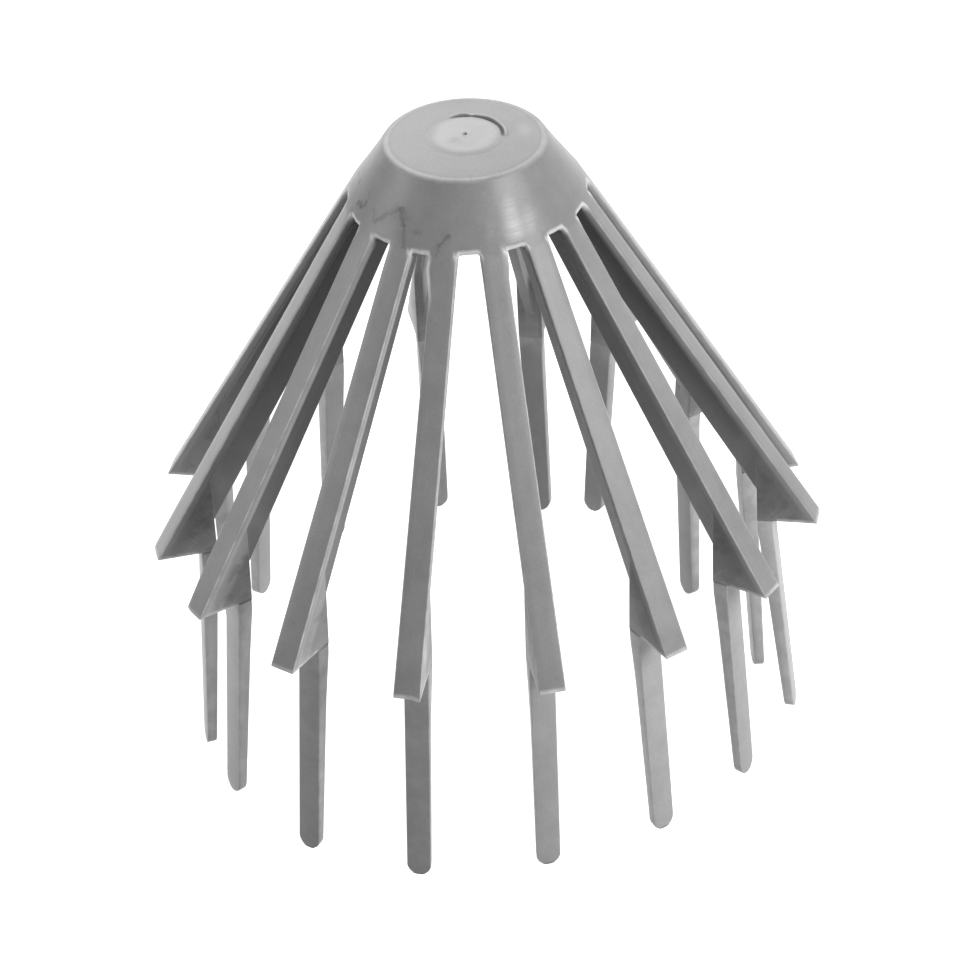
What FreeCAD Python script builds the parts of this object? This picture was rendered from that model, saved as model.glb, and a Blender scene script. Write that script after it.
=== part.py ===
import FreeCAD, Part
import math, os

# Downpipe leaf filter: one moulding, a domed cap with a ring of fingers.
# Millimetres. The origin is on the axis, in the plane of the ledges that rest
# on the rim of the outlet. +Z points up to the cap, -Y is the front.

# Cap
cap_rim_radius = 14.0        # outer radius of the flat top
cap_dome = 0.8               # rise of the top from its rim to its centre
cap_edge_round = 0.6         # rounding between top and skirt
cap_wall = 1.8
skirt_height = 9.0           # cap rim down to the bend where the fingers start
skirt_spread = 6.1           # how much wider the skirt is at the bend
skirt_hollow = 0.1           # how far the skirt sinks in halfway down
pad_radius = 6.7             # gate pad in the middle of the top
pad_rise = 0.3
gate_radius = 0.45           # small crater left by the gate
gate_depth = 0.4
lip_height = 0.35            # flash that stands along the back of the pad
lip_start = -8.0             # degrees from +X
lip_sweep = 128.0

# Fingers
finger_count = 16
finger_height = 65.2         # ledges up to the bend
finger_width_root = 4.3      # at the bend
finger_width_tip = 4.66
flange_thickness = 1.5
web_depth_root = 3.9         # inside the flange, at the bend
web_depth_tip = 5.15         # the same, measured on to the tip
web_width = 1.7
slot_drop = 1.2              # bend down to the tops of the slots, along the finger
slot_corner = 0.8            # rounding of the upper slot corners
tip_chamfer = 0.25

# Legs
leg_ring_radius = 52.1       # outer faces of the legs, at the ledges
ledge_depth = 8.0            # leg's outer face to the tip of the finger
leg_length = 43.5
leg_width_top = 4.45
leg_width_end = 4.4
leg_thickness_top = 2.85
leg_thickness_end = 1.75
leg_collar = 2.4             # the leg drops straight here, below the ledge
leg_splay = 2.5              # outward run of the outer face, collar to end
parting_step = 0.1           # the gusset stands this much inside the leg

# Set of each finger, in degrees, as it has been bent in use, from the first
# one right of the front and on towards +X: finger outward, finger sideways,
# leg outward, leg sideways.
finger_set = [
    (-1.23, -0.25, 0.76, -0.49),
    (-1.55, 0.33, 1.70, 0.80),
    (0.30, 0.06, -0.12, 1.12),
    (1.22, -0.59, 1.04, 1.13),
    (-1.61, -2.86, -0.50, -2.29),
    (-3.32, -0.09, 0.29, 1.11),
    (1.35, 4.43, -1.55, 2.63),
    (1.03, -0.36, -1.62, 0.20),
    (1.22, -0.63, 0.39, -0.54),
    (0.88, -0.50, 0.00, 0.00),
    (-0.09, -0.28, -0.15, -0.30),
    (-1.23, -1.20, 0.00, 0.00),
    (0.14, 2.50, -0.16, -0.87),
    (0.77, -0.29, -0.45, -1.53),
    (1.31, -0.62, 0.18, -0.48),
    (0.86, -1.32, 0.19, 0.00),
]

# Derived radii and heights
tip_radius = leg_ring_radius + ledge_depth
root_radius = cap_rim_radius + skirt_spread
rim_level = finger_height + skirt_height
leg_inner = leg_ring_radius - leg_thickness_top
gusset_inner = leg_inner - parting_step
pitch = 360.0 / finger_count
half_pitch = math.radians(pitch / 2.0)
finger_length = math.hypot(tip_radius - root_radius, finger_height)
skirt_length = math.hypot(skirt_spread, skirt_height)

Z_AXIS = FreeCAD.Vector(0, 0, 1)
ORIGIN = FreeCAD.Vector(0, 0, 0)


def vec(r, z, t=0.0):
    return FreeCAD.Vector(r, t, z)


def unit(dr, dz):
    length = math.hypot(dr, dz)
    return dr / length, dz / length


def prism(points, width):
    # a profile in the radial plane, given a width about that plane
    corners = [vec(r, z, -width / 2.0) for r, z in points]
    face = Part.Face(Part.makePolygon(corners + corners[:1]))
    return face.extrude(FreeCAD.Vector(0, width, 0))


def turned(points, sweep=360.0):
    corners = [vec(r, z) for r, z in points]
    face = Part.Face(Part.makePolygon(corners + corners[:1]))
    return face.revolve(ORIGIN, Z_AXIS, sweep)


# Directions in the radial plane: down the finger, and down the skirt
run_r, run_z = unit(tip_radius - root_radius, -finger_height)
skirt_r, skirt_z = unit(skirt_spread, -skirt_height)


def along_finger(distance, depth=0.0):
    # a point of the finger's profile: distance below the root, depth inside
    r = root_radius + run_r * distance + run_z * depth
    z = finger_height + run_z * distance - run_r * depth
    return r, z


def on_skirt(distance, depth=0.0):
    # a point of the hollow skirt's profile: distance above the root, depth inside
    share = distance / skirt_length
    depth = depth + 4.0 * skirt_hollow * share * (1.0 - share)
    r = root_radius - skirt_r * distance + skirt_z * depth
    z = finger_height - skirt_z * distance - skirt_r * depth
    return r, z


def web_inner_at(distance):
    # the web's inner edge: depth below the finger's outer face
    share = distance / finger_length
    return flange_thickness + web_depth_root + (web_depth_tip - web_depth_root) * share


def width_at(distance):
    return finger_width_root + (finger_width_tip - finger_width_root) * distance / finger_length


def cut_at_radius(radius, depth):
    # height at which the line at this depth in the finger meets a radius
    r, z = along_finger(0.0, depth)
    return z + run_z / run_r * (radius - r)


def dome_height(radius):
    return rim_level + cap_dome * (1.0 - (radius / cap_rim_radius) ** 2)


def make_cap():
    skirt_tail = slot_drop + slot_corner + 0.4
    edge_in = cap_rim_radius - cap_edge_round
    top = [
        (0.0, dome_height(0.0) + pad_rise - gate_depth),
        (gate_radius * 0.6, dome_height(0.0) + pad_rise - gate_depth),
        (gate_radius, dome_height(0.0) + pad_rise + 0.1),
        (gate_radius * 1.9, dome_height(0.0) + pad_rise),
    ]
    pad_steps = 3
    for i in range(1, pad_steps + 1):
        r = gate_radius * 1.9 + (pad_radius - pad_rise - gate_radius * 1.9) * i / pad_steps
        top.append((r, dome_height(r) + pad_rise))
    top.append((pad_radius, dome_height(pad_radius)))
    disc_steps = 3
    for i in range(1, disc_steps + 1):
        r = pad_radius + (edge_in - pad_radius) * i / disc_steps
        top.append((r, dome_height(r)))
    shoulder = skirt_length - cap_edge_round
    middle = (cap_rim_radius - 0.22 * cap_edge_round, rim_level - 0.1 * cap_edge_round)
    outside = [middle]
    skirt_steps = 4
    for i in range(skirt_steps + 1):
        outside.append(on_skirt(shoulder * (1.0 - i / skirt_steps)))
    outside.append(along_finger(skirt_tail))
    inner_top = rim_level - cap_wall
    climb = (inner_top - on_skirt(0.0, cap_wall)[1]) / -skirt_z
    inside = [along_finger(skirt_tail, cap_wall)]
    for i in range(skirt_steps):
        inside.append(on_skirt(climb * i / skirt_steps, cap_wall))
    inside.append((on_skirt(climb, cap_wall)[0], inner_top))
    inside.append((0.0, inner_top))
    return turned(top + outside + inside)


def make_lip():
    # thin flash with a steep inner and a soft outer side
    foot = pad_radius - 0.1
    base = dome_height(foot) - 0.3
    crest = dome_height(foot) + lip_height
    profile = [(foot, base), (foot + 0.9, base), (foot + 0.45, crest), (foot + 0.2, crest)]
    lip = turned(profile, lip_sweep)
    lip.rotate(ORIGIN, Z_AXIS, lip_start)
    return lip


def make_slot_cutter():
    # removes the foot of the skirt between two fingers, with round corners
    length = slot_corner + 3.0
    side = 0.12

    def half_gap(distance):
        radius = root_radius + run_r * distance
        return radius * math.tan(half_pitch) - width_at(distance) / 2.0 / math.cos(half_pitch) + side

    top = half_gap(slot_drop)
    low = half_gap(slot_drop + length)
    shift = half_gap(slot_drop + slot_corner)
    arc = slot_corner * (1.0 - math.sqrt(0.5))
    a = FreeCAD.Vector(0, top - slot_corner, 0)
    b = FreeCAD.Vector(0, shift - arc, -arc)
    c = FreeCAD.Vector(0, shift, -slot_corner)
    d = FreeCAD.Vector(0, low, -length)
    mirror = [FreeCAD.Vector(0, -p.y, p.z) for p in (a, b, c, d)]
    edges = [
        Part.LineSegment(mirror[0], a).toShape(),
        Part.Arc(a, b, c).toShape(),
        Part.LineSegment(c, d).toShape(),
        Part.LineSegment(d, mirror[3]).toShape(),
        Part.LineSegment(mirror[3], mirror[2]).toShape(),
        Part.Arc(mirror[2], mirror[1], mirror[0]).toShape(),
    ]
    face = Part.Face(Part.Wire(edges))
    cutter = face.extrude(FreeCAD.Vector(4.0 * cap_wall, 0, 0))
    cutter.translate(FreeCAD.Vector(-2.0 * cap_wall, 0, 0))
    lean = math.degrees(math.atan2(run_r, -run_z))
    cutter.rotate(ORIGIN, FreeCAD.Vector(0, -1, 0), lean)
    cutter.translate(vec(*along_finger(slot_drop)))
    return cutter


def make_leg():
    # the leg of a finger that stands straight in the plane of X and Z
    top = leg_ring_radius
    end = leg_ring_radius + leg_splay
    rise = 2.5
    side = [
        (top, rise),
        (top, -leg_collar),
        (end, -leg_length),
        (end - leg_thickness_end, -leg_length),
        (leg_inner, -leg_collar),
        (leg_inner, rise),
    ]
    slab = prism(side, leg_width_top * 2.0)
    round_end = leg_width_end / 2.0
    start = leg_inner - leg_thickness_top
    corners = [
        FreeCAD.Vector(start, -leg_width_top / 2.0, rise),
        FreeCAD.Vector(start, leg_width_top / 2.0, rise),
        FreeCAD.Vector(start, round_end, round_end - leg_length),
        FreeCAD.Vector(start, 0, -leg_length),
        FreeCAD.Vector(start, -round_end, round_end - leg_length),
    ]
    edges = [
        Part.LineSegment(corners[0], corners[1]).toShape(),
        Part.LineSegment(corners[1], corners[2]).toShape(),
        Part.Arc(corners[2], corners[3], corners[4]).toShape(),
        Part.LineSegment(corners[4], corners[0]).toShape(),
    ]
    tongue = Part.Face(Part.Wire(edges)).extrude(FreeCAD.Vector(4.0 * leg_thickness_top + leg_splay, 0, 0))
    return slab.common(tongue)


def make_taper():
    # the width of the finger, seen square on its outer face
    above = -4.0
    below = finger_length + 4.0
    outside = -2.0
    corners = []
    for distance, sign in ((above, -1), (above, 1), (below, 1), (below, -1)):
        r, z = along_finger(distance, outside)
        corners.append(vec(r, z, sign * width_at(distance) / 2.0))
    face = Part.Face(Part.makePolygon(corners + corners[:1]))
    depth = 3.0 * ledge_depth + leg_thickness_top
    return face.extrude(FreeCAD.Vector(run_z * depth, 0, -run_r * depth))


def make_finger(leg_out, leg_side):
    proud = -0.05
    flange = [
        along_finger(0.0, proud),
        along_finger(finger_length - tip_chamfer, proud),
        (tip_radius - tip_chamfer, 0.0),
        (gusset_inner, 0.0),
        (gusset_inner, cut_at_radius(gusset_inner, flange_thickness)),
        along_finger(0.0, flange_thickness),
        on_skirt(2.5, 0.8 * cap_wall),
        on_skirt(2.5, 0.4 * cap_wall),
    ]
    web_outer = 0.65 * flange_thickness
    web_start = -2.0
    web_end = leg_inner + 0.6
    upper = along_finger(web_start, web_inner_at(web_start))
    lower = along_finger(finger_length, web_inner_at(finger_length))
    fall = (lower[1] - upper[1]) / (lower[0] - upper[0])
    web = [
        along_finger(web_start, web_outer),
        (web_end, cut_at_radius(web_end, web_outer)),
        (web_end, upper[1] + fall * (web_end - upper[0])),
        upper,
    ]
    leg = make_leg()
    hinge = vec(leg_ring_radius - leg_thickness_top / 2.0, 0.0)
    leg.rotate(hinge, FreeCAD.Vector(0, -1, 0), leg_out)
    leg.rotate(hinge, FreeCAD.Vector(1, 0, 0), leg_side)
    bar = prism(flange, 2.0 * finger_width_tip).common(make_taper())
    return bar.fuse([prism(web, web_width), leg])


def place_finger(index):
    out, side, leg_out, leg_side = finger_set[index % len(finger_set)]
    finger = make_finger(leg_out, leg_side)
    root = vec(root_radius, finger_height)
    finger.rotate(root, FreeCAD.Vector(0, -1, 0), out)
    finger.rotate(root, FreeCAD.Vector(-run_z, 0, run_r), side)
    finger.rotate(ORIGIN, Z_AXIS, pitch * (index + 0.5) - 90.0)
    return finger


cap = make_cap()
cutters = []
for index in range(finger_count):
    cutter = make_slot_cutter()
    cutter.rotate(ORIGIN, Z_AXIS, pitch * index - 90.0)
    cutters.append(cutter)
cap = cap.cut(cutters)
fingers = [place_finger(index) for index in range(finger_count)]
leaf_filter = cap.fuse([make_lip()] + fingers).removeSplitter()
if len(leaf_filter.Solids) == 1:
    leaf_filter = leaf_filter.Solids[0]

print("solids", len(leaf_filter.Solids), "valid", leaf_filter.isValid())
print("volume cm3", round(leaf_filter.Volume / 1000.0, 2))
box = leaf_filter.BoundBox
print("box", round(box.XMin, 2), round(box.XMax, 2), round(box.YMin, 2), round(box.YMax, 2))
print("height", round(box.ZMin, 2), round(box.ZMax, 2))

os.makedirs("parts", exist_ok=True)
leaf_filter.exportStep("parts/leaf_filter.step")
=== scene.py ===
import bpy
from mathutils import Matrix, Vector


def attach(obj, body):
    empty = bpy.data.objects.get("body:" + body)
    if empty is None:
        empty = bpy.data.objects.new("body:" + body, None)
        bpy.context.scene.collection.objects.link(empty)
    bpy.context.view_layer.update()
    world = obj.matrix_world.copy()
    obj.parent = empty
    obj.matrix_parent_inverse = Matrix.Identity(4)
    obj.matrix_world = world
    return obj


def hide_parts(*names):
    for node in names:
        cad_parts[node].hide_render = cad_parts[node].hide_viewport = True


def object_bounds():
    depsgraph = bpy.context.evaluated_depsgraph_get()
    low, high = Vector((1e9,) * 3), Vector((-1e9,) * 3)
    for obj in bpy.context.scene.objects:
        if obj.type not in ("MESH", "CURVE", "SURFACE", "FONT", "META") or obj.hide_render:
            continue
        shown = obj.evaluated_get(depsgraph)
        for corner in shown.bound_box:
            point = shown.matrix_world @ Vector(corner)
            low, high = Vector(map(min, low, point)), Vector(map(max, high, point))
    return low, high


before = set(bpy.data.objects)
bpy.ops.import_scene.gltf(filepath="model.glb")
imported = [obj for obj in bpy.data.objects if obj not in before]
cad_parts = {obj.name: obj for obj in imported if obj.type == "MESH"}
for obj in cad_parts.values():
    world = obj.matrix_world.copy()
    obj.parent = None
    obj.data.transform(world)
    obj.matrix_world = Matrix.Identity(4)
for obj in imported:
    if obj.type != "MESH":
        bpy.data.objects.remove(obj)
cadBox = [list(corner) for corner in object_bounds()]

import bmesh
import bpy
import math
from mathutils import Matrix, Vector

# Downpipe leaf filter: a grey moulding, a domed cap with a ring of fingers.
# Sizes are in millimetres here and become metres in the meshes.
mm = 0.001
scene = bpy.context.scene

# Heights are from the ledges, radii from the axis, as in the solid
cap = {
    "rimRadius": 14.0,
    "dome": 0.8,
    "edgeRound": 0.55,
    "wall": 1.8,
    "skirtHeight": 9.0,
    "skirtSpread": 6.1,
    "skirtHollow": 0.1,
}
finger = {
    "count": 16,
    "height": 65.2,
    "rootWidth": 4.3,
    "tipWidth": 4.66,
    "flange": 1.5,
    "webDepthRoot": 3.9,
    "webDepthTip": 5.15,
    "webWidth": 1.7,
    "slotDrop": 1.4,
    "slotCorner": 0.8,
    "ledgeDepth": 8.0,
}
leg = {
    "ringRadius": 52.1,
    "length": 43.5,
    "topWidth": 4.45,
    "endWidth": 4.4,
    "topThickness": 2.85,
    "endThickness": 1.75,
    "collar": 2.4,
    "splay": 2.5,
    "draft": 0.25,          # the inner face is this much narrower on each side
    "partingStep": 0.05,
    "innerFlare": 0.07,     # and this much wider where it leaves the gusset
}
edgeRound = {
    "slotTop": 0.8,
    "slotSide": 0.45,
    "slotFade": 0.06,       # the finger's edge is this much finer at each row
    "slotInside": 0.2,
    "fingerEdge": 0.2,
    "flangeInside": 0.2,
    "webEdge": 0.3,
    "webRoot": 0.55,
    "tip": 0.28,
    "leg": 0.24,
    "segments": 3,
}
# Where rows of points lie: radii on the top and the ceiling, distances up the
# skirt and down the finger, heights on the leg
rows = {
    "top": [0.12, 0.28, 0.45, 0.62, 0.85, 1.15, 1.6, 2.2, 3.0, 3.8, 4.6, 5.3, 5.8, 6.1],
    "padEdge": [6.3 + 0.12 * i for i in range(14)],
    "topRim": [8.2, 8.8, 9.6, 10.4, 11.2, 11.8, 12.3, 12.6],
    "shoulder": 6,
    "skirt": [9.4, 8.2, 6.9, 5.6, 4.2, 2.8, 1.5, 0.7, 0.0],
    "ceiling": [2.0, 6.0],
    "webTop": 2.0,
    "slotCorner": 4,
    "finger": [4.0, 6.0, 9.0, 14.0, 20.0, 27.0, 34.0, 41.0, 48.0, 53.0],
    "leg": [-6.0, -12.0, -19.0, -26.0, -33.0, -38.0],
    "legEnd": 10,
}
# How pale the edges are painted, partly pale wear and partly painted highlight: 1 at a slot, less at the
# finger's end
paleShare = {"slot": 1.0, "finger": 0.25, "tip": 0.3, "fade": 7.0}

# How each finger has been bent in use, in degrees, from the first one right
# of the front: finger outward, finger sideways, leg outward, leg sideways
fingerSet = [
    (-1.23, -0.25, 0.76, -0.49),
    (-1.55, 0.33, 1.70, 0.80),
    (0.30, 0.06, -0.12, 1.12),
    (1.22, -0.59, 1.04, 1.13),
    (-1.61, -2.86, -0.50, -2.29),
    (-3.32, -0.09, 0.29, 1.11),
    (1.35, 4.43, -1.55, 2.63),
    (1.03, -0.36, -1.62, 0.20),
    (1.22, -0.63, 0.39, -0.54),
    (0.88, -0.50, 0.00, 0.00),
    (-0.09, -0.28, -0.15, -0.30),
    (-1.23, -1.20, -2.60, 0.00),
    (0.14, 2.50, -0.16, -0.87),
    (0.77, -0.29, -0.45, -1.53),
    (1.31, -0.62, 0.18, -0.48),
    (0.86, -1.32, 0.19, 0.00),
]

# Painted light and shade on each finger, its leg and the right side of its
# gusset, against the plain tone: lighter or darker where lamps, reflections and shadows fall
paintedLightByFinger = [
    (1.00, 1.06, 1.00),
    (1.06, 1.20, 1.00),
    (1.03, 1.00, 1.00),
    (0.89, 1.22, 1.00),
    (1.00, 1.02, 1.00),
    (1.00, 0.86, 1.00),
    (0.92, 0.72, 1.00),
    (0.95, 0.64, 1.00),
    (1.00, 1.00, 1.00),
    (1.00, 0.95, 1.00),
    (1.02, 1.08, 1.00),
    (0.97, 0.84, 1.00),
    (1.20, 0.92, 0.84),
    (0.98, 1.16, 1.90),
    (0.94, 0.58, 1.70),
    (0.86, 0.60, 1.95),
]

rootRadius = cap["rimRadius"] + cap["skirtSpread"]
rimLevel = finger["height"] + cap["skirtHeight"]
tipRadius = leg["ringRadius"] + finger["ledgeDepth"]
legInner = leg["ringRadius"] - leg["topThickness"]
gussetInner = legInner - leg["partingStep"]
fingerLength = math.hypot(tipRadius - rootRadius, finger["height"])
skirtLength = math.hypot(cap["skirtSpread"], cap["skirtHeight"])
runR, runZ = (tipRadius - rootRadius) / fingerLength, -finger["height"] / fingerLength
skirtR, skirtZ = cap["skirtSpread"] / skirtLength, -cap["skirtHeight"] / skirtLength
halfPitch = math.pi / finger["count"]


def alongFinger(distance, depth=0.0):
    return (rootRadius + runR * distance + runZ * depth,
            finger["height"] + runZ * distance - runR * depth)


def onSkirt(distance, depth=0.0):
    share = distance / skirtLength
    depth += 4.0 * cap["skirtHollow"] * share * (1.0 - share)
    return (rootRadius - skirtR * distance + skirtZ * depth,
            finger["height"] - skirtZ * distance - skirtR * depth)


def between(first, last, distance):
    return first + (last - first) * distance / fingerLength


def halfWidth(distance):
    return 0.5 * between(finger["rootWidth"], finger["tipWidth"], distance)


def webInner(distance):
    # depth of the web's inner edge below the outer face
    return finger["flange"] + between(finger["webDepthRoot"], finger["webDepthTip"], distance)


def domeHeight(radius):
    return rimLevel + cap["dome"] * (1.0 - (radius / cap["rimRadius"]) ** 2)


def smoothStep(low, high, value):
    x = min(max((value - low) / (high - low), 0.0), 1.0)
    return x * x * (3.0 - 2.0 * x)


def buildSector():
    # one sixteenth of the moulding, straight, about the XZ plane
    bm = bmesh.new()
    weight = bm.edges.layers.float.new("bevel_weight_edge")
    pale = bm.verts.layers.float.new("paleEdge")
    made = {}

    def vert(x, y, z):
        key = (round(x, 5), round(y, 5), round(z, 5))
        if key not in made:
            made[key] = bm.verts.new((x * mm, y * mm, z * mm))
        return made[key]

    def polar(point, angle):
        return vert(point[0] * math.cos(angle), point[0] * math.sin(angle), point[1])

    def face(*corners):
        unique = []
        for corner in corners:
            if corner not in unique:
                unique.append(corner)
        if len(unique) > 2:
            bm.faces.new(unique)

    def strip(upper, lower):
        # faces between two rows of points
        for c in range(len(upper) - 1):
            face(upper[c], lower[c], lower[c + 1], upper[c + 1])

    def roundOff(chain, sizes):
        # one size in mm for the whole chain, or one for each of its edges
        sizes = sizes if isinstance(sizes, list) else [sizes] * (len(chain) - 1)
        for a, b, size in zip(chain, chain[1:], sizes):
            edge = bm.edges.get((a, b))
            if edge:
                edge[weight] = size

    drop, corner = finger["slotDrop"], finger["slotCorner"]
    webHalf = finger["webWidth"] / 2.0
    wall = cap["wall"]

    # columns across the sector: slot centre, slot corner, finger edge, web
    def gapAngle(across, distance):
        return halfPitch - math.asin(across / alongFinger(distance)[0])

    def halfGap(distance):
        radius = alongFinger(distance)[0]
        return radius * math.tan(halfPitch) - halfWidth(distance) / math.cos(halfPitch)

    armDrop = drop + corner
    centre = halfGap(armDrop) - corner
    slotRow = [(halfPitch, drop)]
    for step in range(rows["slotCorner"]):
        turn = 0.5 * math.pi * step / rows["slotCorner"]
        distance = armDrop - corner * math.cos(turn)
        slotRow.append((gapAngle(centre + corner * math.sin(turn), distance), distance))
    edgeAngle = math.asin(halfWidth(armDrop) / alongFinger(armDrop)[0])
    webAngle = math.asin(webHalf / rootRadius)
    gapAngles = [angle for angle, distance in slotRow]
    angles = gapAngles + [edgeAngle, webAngle]
    angles = [-a for a in angles] + angles[::-1]
    gapCount = len(gapAngles)
    columns = len(angles)
    leftEdge, leftWeb, rightWeb, rightEdge = gapCount, gapCount + 1, gapCount + 2, gapCount + 3

    # outer skin, from the middle of the top to the bend
    shoulder = cap["edgeRound"]
    rimArc = []
    startPoint = Vector(onSkirt(skirtLength - shoulder))
    middlePoint = Vector((cap["rimRadius"], rimLevel + 0.02))
    endPoint = Vector((cap["rimRadius"] - shoulder, domeHeight(cap["rimRadius"] - shoulder)))
    for step in range(rows["shoulder"] + 1):
        s = step / rows["shoulder"]
        p = startPoint * (1 - s) ** 2 + middlePoint * 2 * s * (1 - s) + endPoint * s * s
        rimArc.append((p.x, p.y))
    topRadii = rows["top"] + rows["padEdge"] + rows["topRim"]
    outerRows = [[polar((r, domeHeight(r)), a) for a in angles] for r in topRadii]
    outerRows += [[polar(p, a) for a in angles] for p in reversed(rimArc)]
    for distance in rows["skirt"]:
        outerRows.append([polar(onSkirt(distance), a) for a in angles])
    pole = vert(0.0, 0.0, domeHeight(0.0))
    for c in range(columns - 1):
        face(pole, outerRows[0][c], outerRows[0][c + 1])
    for upper, lower in zip(outerRows, outerRows[1:]):
        strip(upper, lower)

    # inner skin, from the middle of the ceiling to the bend
    ceiling = rimLevel - wall
    climb = (ceiling - onSkirt(0.0, wall)[1]) / -skirtZ
    ceilingRadius = onSkirt(0.0, wall)[0] - skirtR * climb
    webTop = rows["webTop"]
    innerRows = [[polar((r, ceiling), a) for a in angles] for r in rows["ceiling"] + [ceilingRadius - 0.6]]
    for distance in (climb, climb - 0.6, 0.6 * climb, 0.4 * climb, webTop, 0.0):
        innerRows.append([polar(onSkirt(distance, wall), a) for a in angles])
    innerPole = vert(0.0, 0.0, ceiling)
    for c in range(columns - 1):
        face(innerPole, innerRows[0][c + 1], innerRows[0][c])
    for upper, lower in zip(innerRows, innerRows[1:-1]):
        strip(lower, upper)
    upper, lower = innerRows[-2:]
    strip(lower[:rightWeb], upper[:rightWeb])       # the web stands between
    strip(lower[rightWeb:], upper[rightWeb:])

    rootRow, innerRoot = outerRows[-1], innerRows[-1]

    def acrossRow(r, z, half, bent=0.0):
        # four points, with the skirt's curve where bent is 1
        row = []
        for t in (-half, -webHalf, webHalf, half):
            row.append(vert(r - bent * (r - math.sqrt(r * r - t * t)), t, z))
        return row

    def webPair(r, z):
        return [vert(r, -webHalf, z), vert(r, webHalf, z)]

    def station(distance):
        # outer and inner corners of the flange, left to right, and of the web
        bent = 1.0 - smoothStep(0.0, 6.0, distance)
        thinned = smoothStep(armDrop, armDrop + 3.0, distance)
        flange = wall + (finger["flange"] - wall) * thinned
        half = halfWidth(distance)
        return (acrossRow(*alongFinger(distance), half, bent),
                acrossRow(*alongFinger(distance, flange), half, bent),
                webPair(*alongFinger(distance, webInner(distance))))

    # slot: outer and inner rim with its round corners, and the wall between
    first = station(armDrop)
    for side in (-1, 1):
        ordered = [(side * angle, distance) for angle, distance in slotRow]
        cols = list(range(gapCount)) if side < 0 else [columns - 1 - i for i in range(gapCount)]
        outerRim = [polar(alongFinger(d), a) for a, d in ordered]
        innerRim = [polar(alongFinger(d, wall), a) for a, d in ordered]
        edgeColumn = leftEdge if side < 0 else rightEdge
        cols.append(edgeColumn)
        outerRim.append(first[0][0 if side < 0 else 3])
        innerRim.append(first[1][0 if side < 0 else 3])
        for i in range(gapCount):
            a, b = cols[i], cols[i + 1]
            quads = [
                (rootRow[a], outerRim[i], outerRim[i + 1], rootRow[b]),
                (innerRoot[b], innerRim[i + 1], innerRim[i], innerRoot[a]),
                (outerRim[i], innerRim[i], innerRim[i + 1], outerRim[i + 1]),
            ]
            for quad in quads:
                face(*(quad if side < 0 else quad[::-1]))
        roundOff(outerRim, edgeRound["slotTop"])
        roundOff(innerRim, edgeRound["slotInside"])
        for corner in outerRim:
            corner[pale] = paleShare["slot"]

    # finger: stations from the slot to the gusset
    def roundStation(outer, inner, web):
        return outer + [inner[3], inner[2], web[1], web[0], inner[1], inner[0], outer[0]]

    strip(rootRow[leftEdge:rightEdge + 1], first[0])
    for c in (leftEdge, rightWeb):
        face(innerRoot[c + 1], first[1][c - leftEdge + 1], first[1][c - leftEdge], innerRoot[c])
    webStart = innerRows[-2]
    webEnd = webPair(*alongFinger(-webTop, webInner(-webTop)))
    face(webStart[leftWeb], webStart[rightWeb], webEnd[1], webEnd[0])
    face(webStart[leftWeb], webEnd[0], first[2][0], first[1][1], innerRoot[leftWeb])
    face(webStart[rightWeb], innerRoot[rightWeb], first[1][2], first[2][1], webEnd[1])
    face(webEnd[0], webEnd[1], first[2][1], first[2][0])

    flangeEnd = (gussetInner - alongFinger(0.0, finger["flange"])[0]) / runR
    stations = [first] + [station(distance) for distance in rows["finger"]]
    last = station(flangeEnd)
    highR, highZ = alongFinger(0.0, webInner(0.0))
    lowR, lowZ = alongFinger(fingerLength, webInner(fingerLength))
    webFoot = highZ + (lowZ - highZ) * (gussetInner - highR) / (lowR - highR)
    last = (last[0], last[1], webPair(gussetInner, webFoot))
    stations.append(last)
    for upper, lower in zip(stations, stations[1:]):
        strip(roundStation(*upper), roundStation(*lower))

    # gusset: inner face, sides and ledge
    def gussetRow(r, z):
        return acrossRow(r, z, halfWidth((r - rootRadius) * runR + (z - finger["height"]) * runZ))

    footRow = gussetRow(gussetInner, webFoot)
    lowRow = gussetRow(gussetInner, 0.0)
    face(last[1][1], last[2][0], footRow[0], last[1][0])
    face(last[1][3], footRow[3], last[2][1], last[1][2])
    strip(lowRow, footRow)
    middle = station((finger["height"] - webFoot) / -runZ)[0]
    tip = gussetRow(tipRadius, 0.0)
    strip(last[0], middle)
    strip(middle, tip)
    ledgeRow = gussetRow(leg["ringRadius"], 0.0)
    for side, index in ((-1, 0), (1, 3)):
        quads = [
            (last[0][index], last[1][index], footRow[index], middle[index]),
            (middle[index], footRow[index], lowRow[index], ledgeRow[index]),
            (middle[index], ledgeRow[index], tip[index]),
        ]
        for quad in quads:
            face(*(quad if side < 0 else quad[::-1]))

    # leg: outline of the tongue, from its left top round the end to its right
    topHalf, endHalf = leg["topWidth"] / 2.0, leg["endWidth"] / 2.0

    def legRadii(z):
        s = max(0.0, (-z - leg["collar"]) / (leg["length"] - leg["collar"]))
        outer = leg["ringRadius"] + leg["splay"] * s
        return outer, outer - leg["topThickness"] + (leg["topThickness"] - leg["endThickness"]) * s

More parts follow.
